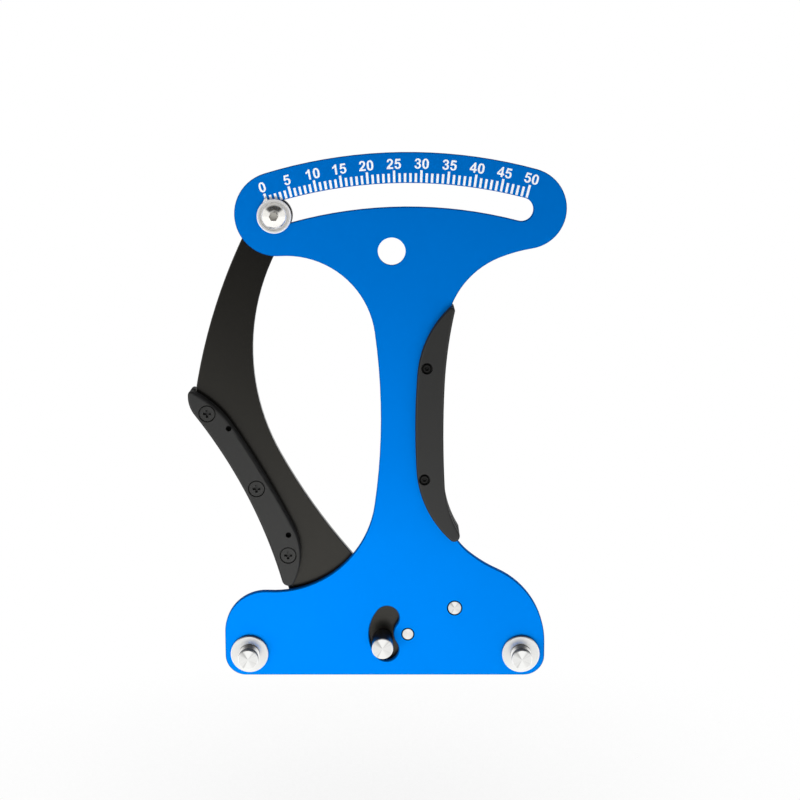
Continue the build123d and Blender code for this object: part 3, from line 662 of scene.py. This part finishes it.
wire = bpy.data.curves.new("spring_wire", "CURVE")
wire.dimensions = "3D"
wire.bevel_depth = WIRE / 2
wire.bevel_resolution = 4
wire.use_fill_caps = True
spline = wire.splines.new("NURBS")
spline.points.add(len(wire_points) - 1)
for point, (x, y, z) in zip(spline.points, wire_points):
    point.co = (*(stud + along * x + beside * y + above * z), 1.0)
spline.order_u = 4
spline.use_endpoint_u = True
spline.resolution_u = 2
coil = bpy.data.objects.new("spring_wire", wire)
bpy.context.scene.collection.objects.link(coil)
spring = settle(coil, "coiled_return_spring")
spring.data.materials.clear()
spring.data.materials.append(drawn)
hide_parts("return_spring")
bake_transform(spring)

# Floor
# Plain and pale. The camera sees it as white, with a painted shadow close under the object, where
# occlusion darkens its glow. What is glossy sees it glowing brightly as well, apart from the open
# front of the room, which is dark in a cone round the way from the object to the camera.
FLOOR = -0.235  # height
FLOOR_HALF = 4.0
FLOOR_TONE = 1.2
MIDDLE = Vector((0, 0, -0.08))  # about the middle of the object
FRONT = Vector((0.08, -1, 0.2)).normalized()
FRONT_CONE = (30, 18)  # half angles in degrees, at its edge and at its dark core
FRONT_TONE = 0.02
SHADE_REACH = 0.25
FLOOR_WHITE = "#F2F2F2"


def darken(tree, way, direction, cone, tone):
    """Factor that falls from 1 to a tone inside a cone round a direction."""
    edge, core = cone
    toward = add_node(tree, "ShaderNodeVectorMath", {0: way, 1: direction}, operation="DOT_PRODUCT")
    fall = {
        0: toward.outputs["Value"],
        1: math.cos(math.radians(edge)),
        2: math.cos(math.radians(core)),
        3: 1.0,
        4: tone,
    }
    return add_node(tree, "ShaderNodeMapRange", fall, interpolation_type="SMOOTHSTEP").outputs[0]


pale, tree, place = start_finish("pale_floor")
rays = add_node(tree, "ShaderNodeLightPath").outputs
outward = add_node(tree, "ShaderNodeVectorMath", {0: place, 1: MIDDLE}, operation="SUBTRACT").outputs[0]
way = add_node(tree, "ShaderNodeVectorMath", {0: outward}, operation="NORMALIZE").outputs[0]
cone = darken(tree, way, FRONT, FRONT_CONE, FRONT_TONE)
pool = add_node(tree, "ShaderNodeMath", {0: cone, 1: FLOOR_TONE}, operation="MULTIPLY").outputs[0]
shown = add_node(
    tree, "ShaderNodeMix", {0: rays["Is Glossy Ray"], 2: 1.0, 3: pool}, data_type="FLOAT"
).outputs[0]
# painted shadow: occlusion darkens the floor's glow close under the object
painted_floor_shadow = add_node(tree, "ShaderNodeAmbientOcclusion", {"Distance": SHADE_REACH})
white = add_node(tree, "ShaderNodeEmission", {"Color": painted_floor_shadow.outputs["Color"], "Strength": shown})
matt = add_node(tree, "ShaderNodeBsdfDiffuse", {"Color": linear(FLOOR_WHITE)})
seen = add_node(
    tree, "ShaderNodeMath", {0: rays["Is Camera Ray"], 1: rays["Is Glossy Ray"]}, operation="MAXIMUM"
).outputs[0]
seen = add_node(
    tree, "ShaderNodeMath", {0: seen, 1: rays["Is Transmission Ray"]}, operation="MAXIMUM"
).outputs[0]
both = add_node(tree, "ShaderNodeMixShader", {0: seen, 1: matt.outputs[0], 2: white.outputs[0]})
add_node(tree, "ShaderNodeOutputMaterial", {"Surface": both.outputs[0]})
ground = bpy.data.meshes.new("floor")
corners = [(x * FLOOR_HALF, y * FLOOR_HALF, FLOOR) for x, y in ((-1, -1), (1, -1), (1, 1), (-1, 1))]
ground.from_pydata(corners, [], [(0, 1, 2, 3)])
ground.materials.append(pale)
floor = bpy.data.objects.new("floor", ground)
bpy.context.scene.collection.objects.link(floor)

# Light
# An even white room. What is glossy sees it dark in the same cone in front and in a patch overhead,
# which fades toward the back. A low soft lamp stands close in front and a little to the left, and a
# wider one farther off, high behind.
ROOM_LIGHT = 0.5
PATCH_SIDES = (0.5, 0.72)  # how upright a way is, seen from the front, where the patch starts and is full
PATCH_FRONT = (-0.92, -0.68)  # how far back a way leads, likewise
PATCH_BACK = (-0.25, 0.0)  # and where it starts to fade and has faded
PATCH_LEFT = 0.4  # what is left of it there
PATCH_TONE = 0.0

world = bpy.data.worlds.new("white_room")
bpy.context.scene.world = world
world.use_nodes = True
tree = world.node_tree
tree.nodes.clear()
rays = add_node(tree, "ShaderNodeLightPath").outputs
way = add_node(tree, "ShaderNodeTexCoord").outputs["Generated"]
front = darken(tree, way, FRONT, FRONT_CONE, FRONT_TONE)
back = add_node(tree, "ShaderNodeSeparateXYZ", {0: way}).outputs["Y"]
across = add_node(tree, "ShaderNodeVectorMath", {0: way, 1: (1, 0, 1)}, operation="MULTIPLY").outputs[0]
across = add_node(tree, "ShaderNodeVectorMath", {0: across}, operation="NORMALIZE").outputs[0]
upright = add_node(tree, "ShaderNodeSeparateXYZ", {0: across}).outputs["Z"]
shares = []
for level, (start, full), first, last in (
    (upright, PATCH_SIDES, 0.0, 1.0),
    (back, PATCH_FRONT, 0.0, 1.0),
    (back, PATCH_BACK, 1.0, PATCH_LEFT),
):
    sockets = {0: level, 1: start, 2: full, 3: first, 4: last}
    share = add_node(tree, "ShaderNodeMapRange", sockets, interpolation_type="SMOOTHSTEP")
    shares.append(share.outputs[0])
patch = add_node(tree, "ShaderNodeMath", {0: shares[0], 1: shares[1]}, operation="MULTIPLY").outputs[0]
patch = add_node(tree, "ShaderNodeMath", {0: patch, 1: shares[2]}, operation="MULTIPLY").outputs[0]
overhead = add_node(tree, "ShaderNodeMapRange", {0: patch, 3: 1.0, 4: PATCH_TONE}).outputs[0]
mirrored = add_node(tree, "ShaderNodeMath", {0: front, 1: overhead}, operation="MULTIPLY").outputs[0]
unseen = add_node(
    tree, "ShaderNodeMix", {0: rays["Is Glossy Ray"], 2: ROOM_LIGHT, 3: mirrored}, data_type="FLOAT"
).outputs[0]
seen = add_node(
    tree, "ShaderNodeMath", {0: rays["Is Camera Ray"], 1: rays["Is Transmission Ray"]}, operation="MAXIMUM"
).outputs[0]
strength = add_node(tree, "ShaderNodeMix", {0: seen, 2: unseen, 3: 1.0}, data_type="FLOAT").outputs[0]
room = add_node(tree, "ShaderNodeBackground", {"Color": (1, 1, 1, 1), "Strength": strength})
add_node(tree, "ShaderNodeOutputWorld", {"Surface": room.outputs[0]})


def hang_lamp(name, power, size, place, aim):
    """Soft rectangular lamp that the camera doesn't see."""
    lamp = bpy.data.lights.new(name, "AREA")
    lamp.shape = "RECTANGLE"
    lamp.energy = power
    lamp.size, lamp.size_y = size
    stand = bpy.data.objects.new(name, lamp)
    stand.location = place
    stand.rotation_euler = (Vector(aim) - stand.location).to_track_quat("-Z", "Y").to_euler()
    stand.visible_camera = False
    stand.visible_glossy = False
    bpy.context.scene.collection.objects.link(stand)


hang_lamp("low_front_lamp", power=0.88, size=(0.3, 0.06), place=(-0.1, -0.26, -0.2), aim=(0, 0, -0.07))
hang_lamp("high_rear_lamp", power=1.6, size=(0.5, 0.5), place=(0.25, 0.6, 0.35), aim=(0, 0, -0.06))

# Camera
# It stands 630 mm off, a little higher than the top of the tool, and looks down on it by about ten
# degrees, square to its front otherwise. The lens gives 2.732 px/mm at the plate.
AIM = Vector((3.015, 0, -54.33)) * MM
DISTANCE = 630 * MM
TILT = math.radians(9.8)
SENSOR = 36  # mm, as the lens
LENS = 77.45
camera = bpy.data.objects.new("camera", bpy.data.cameras.new("camera"))
camera.location = AIM + DISTANCE * Vector((0, -math.cos(TILT), math.sin(TILT)))
camera.rotation_euler = (math.radians(90) - TILT, 0, 0)
camera.data.sensor_width = SENSOR
camera.data.lens = LENS
bpy.context.scene.collection.objects.link(camera)
bpy.context.scene.camera = camera
bpy.context.scene.view_settings.view_transform = "Standard"
